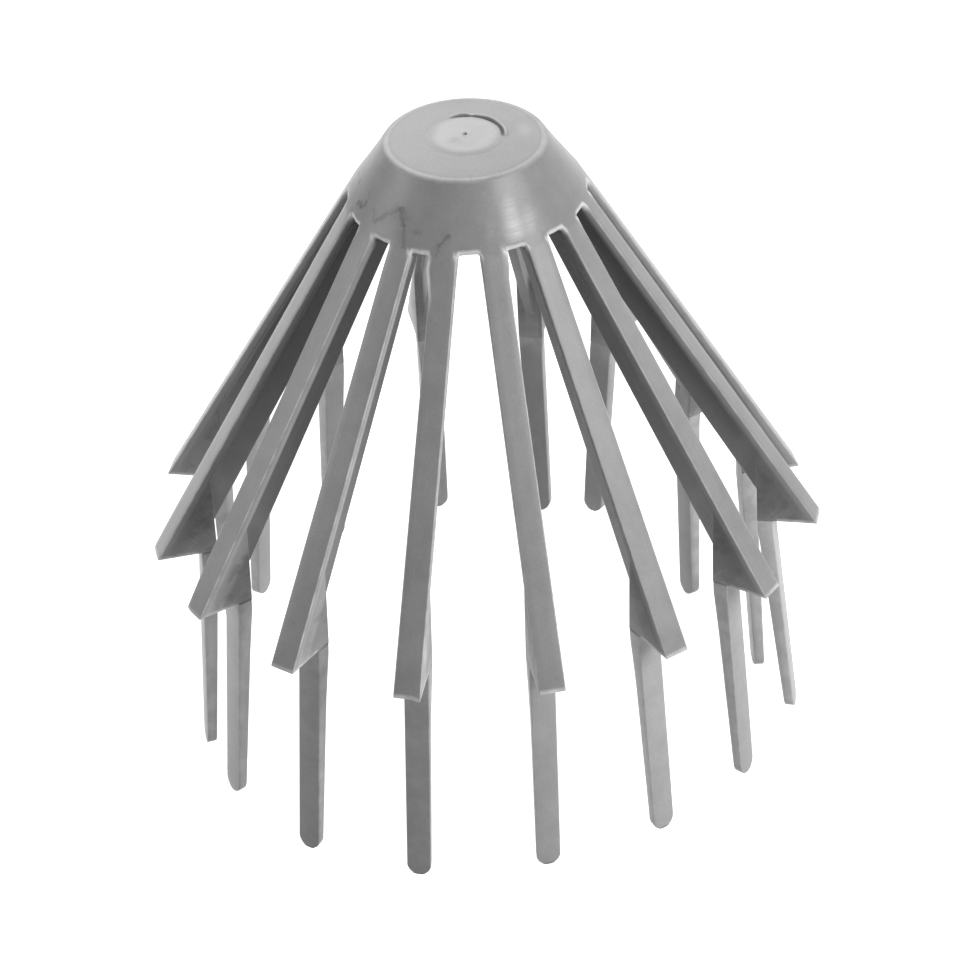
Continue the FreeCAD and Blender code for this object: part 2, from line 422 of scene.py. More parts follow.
    levels = [0.0, -0.5, -leg["collar"]] + rows["leg"] + [endHalf - leg["length"]]
    outline = []
    straight = -levels[-1]
    for z in levels:
        outline.append((topHalf + (endHalf - topHalf) * -z / straight, z))
    for step in range(1, rows["legEnd"]):
        turn = 0.5 * math.pi * step / rows["legEnd"]
        outline.append((endHalf * math.cos(turn), levels[-1] - endHalf * math.sin(turn)))
    outer = [[vert(legRadii(z)[0], t, z) for t in (-half, half)] for half, z in outline]
    inner = []
    for half, z in outline:
        half -= leg["draft"] * smoothStep(1.0, 14.0, -z) * half / topHalf
        half += leg["innerFlare"] * (1.0 - smoothStep(0.0, 5.0, -z))
        inner.append([vert(legRadii(z)[1], t, z) for t in (-half, half)])
    endOuter, endInner = (vert(radius, 0.0, -leg["length"]) for radius in legRadii(-leg["length"]))
    legRings = [o + i[::-1] + o[:1] for o, i in zip(outer, inner)]
    legRings.append([endOuter, endOuter, endInner, endInner, endOuter])
    for upper, lower in zip(legRings, legRings[1:]):
        strip(upper, lower)

    # ledge, with the leg growing out of it
    face(ledgeRow[0], outer[0][0], outer[0][1], ledgeRow[3], tip[3], tip[2], tip[1], tip[0])
    face(lowRow[0], inner[0][0], outer[0][0], ledgeRow[0])
    face(ledgeRow[3], outer[0][1], inner[0][1], lowRow[3])
    face(lowRow[3], inner[0][1], inner[0][0], lowRow[0], lowRow[1], lowRow[2])

    bmesh.ops.recalc_face_normals(bm, faces=bm.faces)

    # roundings, wide round the slot and narrow down the finger
    for index in (0, 3):
        edge = [s[0][index] for s in stations] + [middle[index], tip[index]]
        finer = [edgeRound["slotSide"] - edgeRound["slotFade"] * i for i in range(len(edge) - 1)]
        roundOff(edge, [max(edgeRound["fingerEdge"], size) for size in finer])
        for place, corner in zip([0.0] + rows["finger"], edge):
            fade = smoothStep(0.0, paleShare["fade"], place)
            corner[pale] = paleShare["slot"] + (paleShare["finger"] - paleShare["slot"]) * fade
        for corner in edge[-3:]:
            corner[pale] = paleShare["tip"]
        roundOff([s[1][index] for s in stations] + [footRow[index], lowRow[index]], edgeRound["flangeInside"])
        roundOff([lowRow[index], ledgeRow[index], tip[index]], edgeRound["tip"])
    for index in (0, 1):
        roundOff([webEnd[index]] + [s[2][index] for s in stations], edgeRound["webEdge"])
        root = [webStart[leftWeb + index], innerRoot[leftWeb + index]]
        roundOff(root + [s[1][1 + index] for s in stations], edgeRound["webRoot"])
        roundOff([o[index] for o in outer] + [endOuter], edgeRound["leg"])
        roundOff([i[index] for i in inner] + [endInner], edgeRound["leg"])
    roundOff(webEnd, edgeRound["webEdge"])
    roundOff(tip, edgeRound["tip"])
    for corner in tip:
        corner[pale] = paleShare["tip"]

    mesh = bpy.data.meshes.new("sector")
    bm.to_mesh(mesh)
    bm.free()
    sector = bpy.data.objects.new("sector", mesh)
    scene.collection.objects.link(sector)
    rounding = sector.modifiers.new("rounding", "BEVEL")
    rounding.limit_method = "WEIGHT"
    rounding.offset_type = "OFFSET"
    rounding.width = mm
    rounding.segments = edgeRound["segments"]
    rounding.use_clamp_overlap = False
    return sector


def toPlainMesh(source, name):
    # the object with its modifiers turned into a plain mesh of its own
    bpy.context.view_layer.update()
    graph = bpy.context.evaluated_depsgraph_get()
    mesh = bpy.data.meshes.new_from_object(source.evaluated_get(graph), depsgraph=graph)
    piece = bpy.data.objects.new(name, mesh)
    mesh.name = name
    scene.collection.objects.link(piece)
    bpy.data.objects.remove(source)
    return piece


def feed(tree, value, socket):
    # a plain value is set on the socket, an output is linked to it
    if isinstance(value, (int, float, str, tuple)):
        socket.default_value = value
    else:
        tree.links.new(value, socket)


def mathNode(tree, operation, *values):
    node = tree.nodes.new("ShaderNodeMath")
    node.operation = operation
    for value, socket in zip(values, node.inputs):
        feed(tree, value, socket)
    return node.outputs[0]


def rampNode(tree, value, low, high, first=0.0, last=1.0, kind="SMOOTHSTEP"):
    node = tree.nodes.new("ShaderNodeMapRange")
    node.interpolation_type = kind
    for given, socket in zip((value, low, high, first, last), node.inputs):
        feed(tree, given, socket)
    return node.outputs[0]


def buildRingTree():
    # repeats the sector round the axis and bends each finger and leg
    tree = bpy.data.node_groups.new("fingerRing", "GeometryNodeTree")
    panel = tree.interface
    panel.new_socket("Geometry", in_out="INPUT", socket_type="NodeSocketGeometry")
    panel.new_socket("Geometry", in_out="OUTPUT", socket_type="NodeSocketGeometry")
    kinds = {
        "Object": ("Sector",),
        "Material": ("Material",),
        "Vector": ("Root Point", "Leg Hinge", "Side Axis"),
        "Float": ("Bend Start", "Bend End", "Fixed Half", "Free Half", "Leg Top", "Weld"),
        "Int": ("Count",),
    }
    sockets = {}
    for kind, names in kinds.items():
        for name in names:
            socket = panel.new_socket(name, in_out="INPUT", socket_type="NodeSocket" + kind)
            sockets[name] = socket.identifier

    def add(kind, inputs, **values):
        # a node, its settings and what goes into it
        node = tree.nodes.new(kind)
        for key, value in values.items():
            setattr(node, key, value)
        for name, value in inputs.items():
            feed(tree, value, node.inputs[name])
        return node.outputs

    def attribute(name, kind="FLOAT"):
        return add("GeometryNodeInputNamedAttribute", {"Name": name}, data_type=kind)["Attribute"]

    def math2(operation, *values):
        return mathNode(tree, operation, *values)

    def rotate(vector, centre, axis, angle):
        inputs = {"Vector": vector, "Center": centre, "Axis": axis, "Angle": angle}
        return add("ShaderNodeVectorRotate", inputs, rotation_type="AXIS_ANGLE")[0]

    given = add("NodeGroupInput", {})
    shape = add("GeometryNodeObjectInfo", {"Object": given["Sector"]}, transform_space="ORIGINAL")["Geometry"]
    position = add("GeometryNodeInputPosition", {})[0]
    x, y, z = add("ShaderNodeSeparateXYZ", {"Vector": position})

    # the straight place of every point: radius, distance from the middle,
    # height, and the same distance with its sign
    straight = add("ShaderNodeCombineXYZ", {"X": x, "Y": math2("ABSOLUTE", y), "Z": z})[0]
    for name, kind, value in (("fingerPlace", "FLOAT_VECTOR", straight), ("fingerAcross", "FLOAT", y)):
        inputs = {"Geometry": shape, "Name": name, "Value": value}
        shape = add("GeometryNodeStoreNamedAttribute", inputs, data_type=kind, domain="POINT")["Geometry"]
    shape = add("GeometryNodeInstanceOnPoints", {"Points": given["Geometry"], "Instance": shape})[0]
    shape = add("GeometryNodeRealizeInstances", {"Geometry": shape})[0]

    # weights: the finger bends below the skirt, the leg below the ledge, and
    # what two neighbours share over a slot stays where it is
    offMiddle = math2("ABSOLUTE", attribute("fingerAcross"))
    ownWeight = rampNode(tree, offMiddle, given["Fixed Half"], given["Free Half"])
    fingerWeight = math2("MULTIPLY", rampNode(tree, z, given["Bend Start"], given["Bend End"]), ownWeight)
    legWeight = rampNode(tree, z, 0.0, given["Leg Top"])
    outAxis, legSideAxis, upAxis = (0.0, -1.0, 0.0), (1.0, 0.0, 0.0), (0.0, 0.0, 1.0)
    point = position
    for name, centre, axis, weight in (("legOut", given["Leg Hinge"], outAxis, legWeight),
                                       ("legSide", given["Leg Hinge"], legSideAxis, legWeight),
                                       ("fingerOut", given["Root Point"], outAxis, fingerWeight),
                                       ("fingerSide", given["Root Point"], given["Side Axis"], fingerWeight)):
        point = rotate(point, centre, axis, math2("MULTIPLY", attribute(name), weight))
    place = math2("ADD", attribute("fingerNumber", "INT"), 0.5)
    turn = math2("MULTIPLY", place, math2("DIVIDE", 2.0 * math.pi, given["Count"]))
    point = rotate(point, (0.0, 0.0, 0.0), upAxis, math2("SUBTRACT", turn, 0.5 * math.pi))
    shape = add("GeometryNodeSetPosition", {"Geometry": shape, "Position": point})[0]
    shape = add("GeometryNodeMergeByDistance", {"Geometry": shape, "Distance": given["Weld"]})[0]
    shape = add("GeometryNodeSetShadeSmooth", {"Geometry": shape}, domain="FACE")[0]
    shape = add("GeometryNodeSetMaterial", {"Geometry": shape, "Material": given["Material"]})[0]
    add("NodeGroupOutput", {"Geometry": shape})
    return tree, sockets


# What stands on the flat top: the gate's pad with its crater, a groove round
# the pad, and a thin crescent of flash behind it (angles from +X)
topRelief = {
    "padRadius": 6.65,
    "padEdge": 1.2,
    "padRise": 0.13,
    "grooveRadius": 6.85,
    "grooveWidth": 0.2,
    "grooveDepth": 0.03,
    "craterRadius": 0.42,
    "craterDepth": 0.45,
    "craterRim": 0.1,
    "craterRimRadius": 0.62,
    "craterRimWidth": 0.16,
    "lipRadius": 6.75,
    "lipHeight": 0.42,
    "lipThickness": 0.25,
    "lipSlope": 0.6,
    "lipCut": 0.34,
    "lipFoot": 0.35,
    "lipStart": -10.0,
    "lipRiseAngle": 12.0,
    "lipEnd": 121.0,
    "lipFallAngle": 25.0,
    "lipNotch": 80.0,
    "lineRadius": 12.75,
    "lineWidth": 0.16,
    "lineDepth": 0.05,
}


def bell(value, middle, width):
    return math.exp(-((value - middle) / width) ** 2)


def topHeight(x, y):
    r, angle = math.hypot(x, y), math.degrees(math.atan2(y, x))
    t = topRelief
    height = t["padRise"] * (1.0 - smoothStep(t["padRadius"] - t["padEdge"], t["padRadius"], r))
    height -= t["grooveDepth"] * bell(r, t["grooveRadius"], t["grooveWidth"])
    height -= t["lineDepth"] * bell(r, t["lineRadius"], t["lineWidth"])
    height -= t["craterDepth"] * (1.0 - smoothStep(0.4 * t["craterRadius"], t["craterRadius"], r))
    height += t["craterRim"] * bell(r, t["craterRimRadius"], t["craterRimWidth"])
    ends = smoothStep(t["lipStart"], t["lipStart"] + t["lipRiseAngle"], angle)
    ends *= 1.0 - smoothStep(t["lipEnd"] - t["lipFallAngle"], t["lipEnd"], angle)
    ends *= 1.0 - 0.7 * bell(angle, t["lipNotch"], 4.0)
    ends *= 0.85 + 0.15 * math.sin(math.radians(angle) * 9.0)
    outside = t["lipRadius"] + t["lipThickness"]
    lip = smoothStep(t["lipRadius"] - 0.15, t["lipRadius"], r)
    lip *= 1.0 - smoothStep(outside, outside + t["lipSlope"], r)
    height += ends * t["lipHeight"] * lip
    height -= ends * t["lipCut"] * bell(r, t["lipRadius"] - t["lipFoot"], 0.2)
    return height


# Small faults of the moulding and of wear, each a soft push of the surface:
# finger, distance down it, across it, push (outward, across, up), reach
faults = [
    (15, 2.6, -2.2, (0.0, -0.75, 0.0), 4.2),      # thick edge beside the slot
    (15, 5.5, -2.2, (0.0, -0.45, 0.0), 4.0),
    (0, 2.6, 2.2, (0.0, 0.35, 0.0), 4.0),
    (0, 31.5, 2.25, (0.0, -0.3, 0.1), 1.6),       # nick in the edge
    (13, 76.2, -2.3, (-0.12, 0.3, 0.25), 1.1),    # worn corner of the tip
    (12, 76.2, -2.3, (-0.1, 0.2, 0.15), 1.2),
    (15, 76.4, 2.1, (0.15, 0.1, -0.35), 1.0),      # drip of flash at the tip
    (2, 40.0, 2.25, (0.0, -0.2, 0.0), 2.2),
    (15, 50.0, 2.25, (0.0, -0.2, 0.1), 2.6),
    (15, 1.4, -4.1, (0.27, 0.0, -0.44), 4.6),      # slots on the left start lower
    (14, 1.4, -4.1, (0.17, 0.0, -0.28), 4.6),
    (13, 1.4, -4.1, (0.27, 0.0, -0.44), 4.6),
]


def pressFaults(mesh):
    # the faults and the top's relief, worked into the finished mesh
    marks = []
    for index, distance, across, push, reach in faults:
        out, side = (math.radians(value) for value in fingerSet[index][:2])
        root = Vector((rootRadius, 0.0, finger["height"]))
        r, z = alongFinger(distance)
        bent = Matrix.Rotation(side, 3, (-runZ, 0.0, runR)) @ Matrix.Rotation(out, 3, (0.0, -1.0, 0.0))
        around = Matrix.Rotation(2.0 * halfPitch * (index + 0.5) - 0.5 * math.pi, 3, "Z")
        place = around @ (root + bent @ (Vector((r, across, z)) - root))
        marks.append((place, around @ Vector(push), reach))
    for point in mesh.vertices:
        here = point.co / mm
        moved = here.copy()
        if here.z > rimLevel - 0.3 and math.hypot(here.x, here.y) < cap["rimRadius"] - 0.6:
            moved.z += topHeight(here.x, here.y)
        for place, push, reach in marks:
            away = (here - place).length
            if away < reach:
                moved += push * (1.0 - smoothStep(0.0, reach, away))
        point.co = moved * mm


# Where the ring of fingers bends: below the skirt, below the ledges, and
# within this much either side of a finger's middle
bending = {
    "start": 0.4,
    "end": 1.6,
    "legTop": 0.45,
    "fixedHalf": 3.4,
    "freeHalf": 2.5,
    "weld": 0.004,
}


def buildFilter(material):
    sector = toPlainMesh(buildSector(), "straightSector")
    base = bpy.data.meshes.new("fingerList")
    base.from_pydata([(0.0, 0.0, 0.0)] * finger["count"], [], [])

    def store(name, kind, values):
        layer = base.attributes.new(name, kind, "POINT")
        for point, value in zip(layer.data, values):
            point.value = value

    for name, column in zip(("fingerOut", "fingerSide", "legOut", "legSide"), zip(*fingerSet)):
        store(name, "FLOAT", [math.radians(value) for value in column])
    for name, column in zip(("fingerPaintedLight", "legPaintedLight", "sidePaintedLight"), zip(*paintedLightByFinger)):
        store(name, "FLOAT", column)
    store("fingerNumber", "INT", range(finger["count"]))
    ring = bpy.data.objects.new("ring", base)
    scene.collection.objects.link(ring)
    tree, sockets = buildRingTree()
    modifier = ring.modifiers.new("fingerRing", "NODES")
    modifier.node_group = tree
    values = {
        "Sector": sector,
        "Material": material,
        "Root Point": (rootRadius * mm, 0.0, finger["height"] * mm),
        "Leg Hinge": ((leg["ringRadius"] - leg["topThickness"] / 2.0) * mm, 0.0, 0.0),
        "Side Axis": (-runZ, 0.0, runR),
        "Bend Start": (finger["height"] + bending["start"]) * mm,
        "Bend End": (finger["height"] - bending["end"]) * mm,
        "Fixed Half": bending["fixedHalf"] * mm,
        "Free Half": bending["freeHalf"] * mm,
        "Leg Top": -bending["legTop"] * mm,
        "Weld": bending["weld"] * mm,
        "Count": finger["count"],
    }
    for name, value in values.items():
        modifier[sockets[name]] = value
    piece = toPlainMesh(ring, "leafFilter")
    bpy.data.objects.remove(sector)
    pressFaults(piece.data)
    return piece


def newMaterial(name):
    material = bpy.data.materials.new(name)
    material.use_nodes = True
    return material, material.node_tree, material.node_tree.nodes["Principled BSDF"]


# Tones are shares of the plain tone and lengths are in mm
plastic = {
    "tone": 0.33,            # grey of the bare surface, linear
    "paleTone": 0.9,         # edges and slots painted pale, partly wear and partly painted highlight
    "roughness": 0.4,
    "roughRange": 0.03,
    "cloudSize": 26.0,
    "mottleSize": 3.2,
    "grainSize": 0.35,
    "smudgeSize": 7.0,
    "hairSize": 0.16,        # spacing of the hairlines down the fingers
    "hairLength": 9.0,
    "hairDepth": 0.6,
    "hairTone": 0.09,
    "insideShadeFoot": 0.7392,     # painted shade on the inner faces at their foot
    "insideShadeHigh": 0.3432,    # and high up
    "leftSideShade": (0.55, 0.8),    # painted shade on the left sides, of the first finger and of the others
    "skirtTone": 0.87,
    # painted light: the legs painted paler, standing in for light from the floor
    "legPaintedLight": 1.1,
    "tipTone": 0.9,
    "topTone": 0.96,
    "topRougher": 0.18,      # the flat top is duller
    "padTone": 1.41,
    # painted shade of sink marks on the gusset sides
    "sinkShadeTone": 0.28,
    "scuffTone": 0.3,
    "wander": 2.6,           # how far the veins stray
    "stain": (-19.0, -8.0, 67.0),
    "stainTone": 0.84,
    "padSmudge": (-1.6, -1.9, 75.0),
    "padSmudgeTone": 0.86,
    "sheen": 0.15,
    "sheenRoughness": 0.3,
    "bump": 0.35,
    "bumpDepth": 0.06,
}

# Where each finish begins and ends, in mm: down a finger, below its outer
# face, off its middle or its edge, up from the ledges, or out from a point
spans = {
    "fingers": (1.0, 3.0),
    "legs": (0.6, -0.6),
    "aboveLedge": (-0.4, 0.2),
    "insideDepth": (0.7, 1.7),
    "insideFoot": (-1.0, 4.0),
    "insideRise": (42.0, 4.0),
    "gussetDepth": (1.6, 2.6),
    "gussetRise": (17.0, 11.0),
    "gussetSide": (1.7, 1.9),
    "fingerSide": (1.5, 1.9),
    "sideDepth": (0.15, 0.5),
    "sideGrows": (0.4, 1.6),
    "sideFades": (4.4, 2.8),
    "shadedLeftSide": (-1.5, -1.9),
    "leftDepth": (0.4, 1.4),
    "tips": (25.0, 75.0),
    "pad": (8.2, 5.4),
    "stain": (4.0, 14.0),
    "padSmudge": (0.4, 1.6),
    "slotDepth": (1.6, 0.6),
    "slotBand": (2.6, 1.5),
    "slotEdge": (-0.65, -0.2),
    "slotTail": (3.6, 1.4),
    "glintEdge": (-0.75, -0.35),
    "glintDepth": (0.9, 0.4),
    "glintFrom": (1.5, 2.6),
    "glintTo": (13.0, 5.0),
    "leftToRight": (-0.5, 0.5),
    "lineEdge": (-0.28, -0.12),
    "lineDepth": (0.34, 0.16),
    "lineFoot": (-0.1, 0.1),
    "ledgeAbove": (0.9, 0.35),
    "ledgeBelow": (-0.12, -0.02),
    "rim": (12.9, 13.3),
}

# How pale the edges are painted: the slots partly wear and partly painted highlight, the lines along fingers,
# legs, ledges and rim painted highlights
paleEdges = {
    "slots": 0.8,
    "fingers": 0.64,
    "legs": 0.3,
    "ledges": 0.62,
    "rim": 0.17,
}

# Dark veins on the left of the skirt: from, to, width, strength
veins = [
    ((-18.77, -5.76, 65.84), (-18.07, -7.37, 66.0), 0.40, 0.42),
    ((-18.07, -7.37, 66.0), (-17.07, -7.64, 67.11), 0.34, 0.36),
    ((-17.07, -7.64, 67.11), (-16.41, -6.74, 68.51), 0.20, 0.18),
    ((-15.78, -9.89, 67.24), (-15.9, -11.6, 65.6), 0.20, 0.20),
    ((-18.6, 1.2, 67.3), (-18.4, 1.8, 67.4), 0.30, 0.30),
    ((-18.4, -1.9, 67.5), (-18.2, -1.4, 67.7), 0.30, 0.30),
    ((-15.9, -11.9, 65.5), (-11.1, -13.2, 69.2), 0.34, 0.40),
    ((-11.1, -13.2, 69.2), (-10.6, -15.6, 67.0), 0.46, 0.44),
    ((-10.6, -15.6, 67.0), (-11.0, -17.8, 64.0), 0.34, 0.30),
    ((-9.2, -17.0, 66.4), (-7.9, -17.4, 66.5), 0.24, 0.20),
    ((-3.2, -18.7, 66.8), (-5.0, -19.6, 65.2), 0.26, 0.32),
    ((-5.0, -19.6, 65.2), (-5.8, -20.3, 63.6), 0.22, 0.18),
]

# Painted sheen: paler patches standing in for reflected light, all but the last on
# the right of the skirt: middle, reach, strength
paintedSheenPatches = [
    ((7.6, -17.3, 66.8), (1.9, 2.6, 3.0), 0.17),
    ((6.9, -15.4, 69.6), (1.5, 2.4, 2.6), 0.10),
    ((10.4, -15.6, 67.2), (1.3, 2.2, 3.0), 0.09),
    ((3.6, -18.5, 66.4), (1.0, 3.0, 4.0), 0.04),
    ((9.9, 1.7, 74.7), (1.5, 2.6, 3.0), 0.05),
    ((-9.8, -55.0, 5.5), (0.8, 2.0, 2.4), 0.22),
]


def greyPlastic():
    material, tree, shader = newMaterial("mouldedGrey")
    toMm = 1.0 / mm

    def add(kind, *values, **settings):
        # a node, its settings and what goes into its first sockets
        node = tree.nodes.new(kind)
        for key, value in settings.items():
            setattr(node, key, value)
        for value, socket in zip(values, node.inputs):
            feed(tree, value, socket)
        return node.outputs

    def calc(operation, *values):
        return mathNode(tree, operation, *values)

    def ramp(*values):
        return rampNode(tree, *values)

    def within(value, span, *ends):
        return ramp(value, *spans[span], *ends)

    def times(first, *others):
        for value in others:
            first = calc("MULTIPLY", first, value)
        return first

    def without(value):
        return calc("SUBTRACT", 1.0, value)

    def shade(tone, mask, share):
        # the tone times the share, where the mask is 1
        return times(tone, ramp(mask, 0.0, 1.0, 1.0, share))

    def vector(operation, *values):
        outputs = add("ShaderNodeVectorMath", *values, operation=operation)
        return outputs["Value" if operation in ("DOT_PRODUCT", "LENGTH", "DISTANCE") else "Vector"]

    def noise(place, size, detail=2.0, seed=0.0):
        return add("ShaderNodeTexNoise", place, seed, 1.0 / size, detail, noise_dimensions="4D")[0]

    def stored(name, output="Fac"):
        return add("ShaderNodeAttribute", attribute_name=name)[output]

    place = vector("MULTIPLY", add("ShaderNodeTexCoord")["Object"], (toMm, toMm, toMm))
    x, y, z = add("ShaderNodeSeparateXYZ", place)
    radius = vector("LENGTH", vector("MULTIPLY", place, (1.0, 1.0, 0.0)))
    straight = vector("MULTIPLY", stored("fingerPlace", "Vector"), (toMm, toMm, toMm))
    straightR, offMiddle, straightZ = add("ShaderNodeSeparateXYZ", straight)
    across = times(stored("fingerAcross"), toMm)
    fingerNumber = stored("fingerNumber")
    seed = times(fingerNumber, 7.3)

    # how far down the finger, how far below its outer face, and how far
    # outside its edge
    fromRootR = calc("SUBTRACT", straightR, rootRadius)
    fromRootZ = calc("SUBTRACT", straightZ, finger["height"])
    down = calc("ADD", times(fromRootR, runR), times(fromRootZ, runZ))
    depth = calc("SUBTRACT", times(fromRootR, runZ), times(fromRootZ, runR))
    widening = 0.5 * (finger["tipWidth"] - finger["rootWidth"]) / fingerLength
    fromEdge = calc("SUBTRACT", offMiddle, calc("MULTIPLY_ADD", down, widening, 0.5 * finger["rootWidth"]))

    # where things are: 1 on the top, the skirt, the fingers or the legs
    onTop = ramp(z, rimLevel - 0.25, rimLevel - 0.05)
    onLeg = within(straightZ, "legs")
    onFingers = within(down, "fingers")
    onCone = times(without(onFingers), without(onTop))
    aboveLedge = within(straightZ, "aboveLedge")

    # the plain tone: clouds, mottling and grain
    tone = times(ramp(noise(place, plastic["cloudSize"], 2.0), 0.3, 0.7, 0.96, 1.04), plastic["tone"])
    mottle = noise(place, plastic["mottleSize"], 4.0, 3.0)
    grain = noise(place, plastic["grainSize"], 1.0, 5.0)
    tone = times(tone, ramp(mottle, 0.3, 0.7, 0.965, 1.035), ramp(grain, 0.2, 0.8, 0.955, 1.045))

    # fine hairlines down the fingers and legs
    fibre = add("ShaderNodeCombineXYZ", calc("DIVIDE", down, plastic["hairLength"]),
                calc("DIVIDE", across, plastic["hairSize"]),
                times(calc("DIVIDE", depth, plastic["hairDepth"]), without(onLeg)))
    hairs = times(ramp(noise(fibre[0], 1.0, 1.0, seed), 0.6, 0.78), onFingers)
    tone = times(tone, calc("MULTIPLY_ADD", hairs, plastic["hairTone"], 1.0))

    # painted shade: the inner faces darkened, most high up in the recesses, least at their foot where the
    # floor lights them
    inside = times(within(depth, "insideDepth"), within(straightZ, "insideFoot"), without(onTop))
    tone = shade(tone, inside, within(straightZ, "insideRise", plastic["insideShadeHigh"], plastic["insideShadeFoot"]))

    # scuffs on the sides of the gussets, and dark blotches painted as the shade of shallow sink marks
    gusset = times(within(depth, "gussetDepth"), within(straightZ, "gussetRise"),
                   within(offMiddle, "gussetSide"), aboveLedge)
    sinkShade = ramp(noise(straight, 4.0, 2.0, seed), 0.46, 0.62)
    tone = times(tone, without(times(sinkShade, gusset, plastic["sinkShadeTone"])))
    slanted = add("ShaderNodeCombineXYZ", times(calc("ADD", straightR, straightZ), 0.12),
                  times(calc("SUBTRACT", straightR, straightZ), 2.6))
    scuff = ramp(noise(slanted[0], 1.0, 2.0, seed), 0.58, 0.74)
    tone = times(tone, calc("MULTIPLY_ADD", times(scuff, gusset), plastic["scuffTone"], 1.0))

    # painted light and shade: each finger, leg and gusset is painted lighter or darker where light,
    # reflection or shadow falls on it
    tone = shade(tone, times(onFingers, without(onLeg)), stored("fingerPaintedLight"))
    tone = shade(tone, onLeg, stored("legPaintedLight"))
    paintedRightSide = times(within(across, "fingerSide"), aboveLedge, onFingers, within(depth, "sideDepth"),
                      within(depth, "sideGrows", 0.55, 1.0), within(depth, "sideFades", 0.3, 1.0))
    tone = shade(tone, paintedRightSide, stored("sidePaintedLight"))
    # painted shade: the left sides of the fingers and gussets darkened, as the light falls from the right
    shadedLeftSide = times(within(across, "shadedLeftSide"), within(depth, "leftDepth"), aboveLedge)
    tone = shade(tone, shadedLeftSide, ramp(fingerNumber, 0.4, 1.6, *plastic["leftSideShade"]))

    # legs are painted paler as painted light from the floor, the pad is paler, the fingers darken a little to
    # their tips
    tone = shade(tone, onLeg, plastic["legPaintedLight"])
    tone = times(tone, within(times(down, without(onLeg)), "tips", 1.0, plastic["tipTone"]))
    smudges = noise(place, plastic["smudgeSize"], 2.0, 23.0)
    tone = times(tone, ramp(smudges, 0.32, 0.6, 0.95, 1.02))
    tone = shade(tone, onTop, plastic["topTone"])
    tone = shade(tone, onCone, plastic["skirtTone"])
    pad = times(onTop, within(calc("MULTIPLY_ADD", smudges, 2.4, radius), "pad"))
    tone = shade(tone, pad, plastic["padTone"])
    fromStain = calc("MULTIPLY_ADD", smudges, 4.0, vector("DISTANCE", place, plastic["stain"]))
    tone = times(tone, within(fromStain, "stain", plastic["stainTone"], 1.0))

    # veins, each a thin line in a faint haze
    wander = times(calc("SUBTRACT", noise(place, 1.6, 3.0, 11.0), 0.5), plastic["wander"])
    for start, end, width, strength in veins:
        a, b = Vector(start), Vector(end)
        middle, run = (a + b) / 2.0, b - a
        normal = run.cross(Vector((middle.x, middle.y, 14.0))).normalized()
        offset = calc("SUBTRACT", vector("DOT_PRODUCT", place, tuple(normal)), normal.dot(middle))
        near = calc("ABSOLUTE", calc("ADD", offset, wander))
        reach = run.length / 2.0 + 0.3
        inReach = ramp(vector("DISTANCE", place, tuple(middle)), reach, 0.8 * reach)
        line = times(ramp(near, 2.0 * width, 0.0), inReach, 0.8 * strength)
        haze = times(ramp(near, 6.0 * width, 0.0), inReach, 0.4 * strength)
        tone = times(tone, without(calc("ADD", line, haze)))

    # painted sheen: paler patches, with fine level lines in them
    paintedSheen = 0.0
    level = noise(vector("MULTIPLY", place, (0.15, 0.15, 2.2)), 1.0, 2.0, 17.0)
    for middle, reach, strength in paintedSheenPatches:
        scaled = vector("MULTIPLY", vector("SUBTRACT", place, middle), tuple(1.0 / value for value in reach))
        paintedSheen = calc("ADD", times(ramp(vector("LENGTH", scaled), 1.3, 0.1), strength), paintedSheen)
    paintedSheen = times(paintedSheen, ramp(level, 0.35, 0.65, 0.55, 1.25))
    tone = calc("ADD", tone, paintedSheen)

    # pale edges, partly wear and partly painted highlight: round the slots, down the fingers, on the legs and
    # ledges
    patchy = times(calc("SUBTRACT", mottle, 0.5), 0.35)
    slots = times(ramp(calc("ADD", stored("paleEdge"), patchy), 0.25, 0.75), within(depth, "slotDepth"),
                  calc("MAXIMUM", within(down, "slotBand"), within(fromEdge, "slotEdge")),
                  calc("MAXIMUM", within(down, "slotTail"), within(across, "leftToRight", 0.15, 0.35)))
    # painted highlight: the last finger's left edge is painted pale for some way down, a glint where its
    # rounding catches the light
    paintedEdgeGlint = times(ramp(fingerNumber, 14.4, 14.6), within(fromEdge, "glintEdge"),
                 within(across, "leftToRight", 1.0, 0.0), within(depth, "glintDepth"),
                 within(down, "glintFrom"), within(down, "glintTo"))
    # painted highlights: pale lines where the rounded edges of the fingers, legs, ledges and rim catch the
    # light
    fingerLine = times(within(fromEdge, "lineEdge"), within(depth, "lineDepth"),
                       within(across, "leftToRight", 0.5, 1.0), onFingers, within(straightZ, "lineFoot"))
    halfLeg = 0.5 * leg["endWidth"]
    legLine = times(ramp(offMiddle, halfLeg - 0.3, halfLeg - 0.08), onLeg,
                    ramp(z, 1.0 - leg["length"], 4.0 - leg["length"]))
    ledgeLine = times(within(straightZ, "ledgeAbove"), within(straightZ, "ledgeBelow"),
                      ramp(straightR, leg["ringRadius"] + 0.3, leg["ringRadius"] + 1.0))
    rim = times(within(radius, "rim"), ramp(z, rimLevel - 0.55, rimLevel - 0.1))
    pale = times(calc("MAXIMUM", slots, paintedEdgeGlint), paleEdges["slots"])
    patchyEdges = ramp(calc("ADD", mottle, patchy), 0.3, 0.7, 0.45, 1.0)
    for name, line in (("fingers", fingerLine), ("legs", legLine), ("ledges", ledgeLine), ("rim", rim)):
        pale = calc("MAXIMUM", pale, times(line, patchyEdges, paleEdges[name]))
    tone = calc("MULTIPLY_ADD", pale, plastic["paleTone"], times(tone, without(pale)))

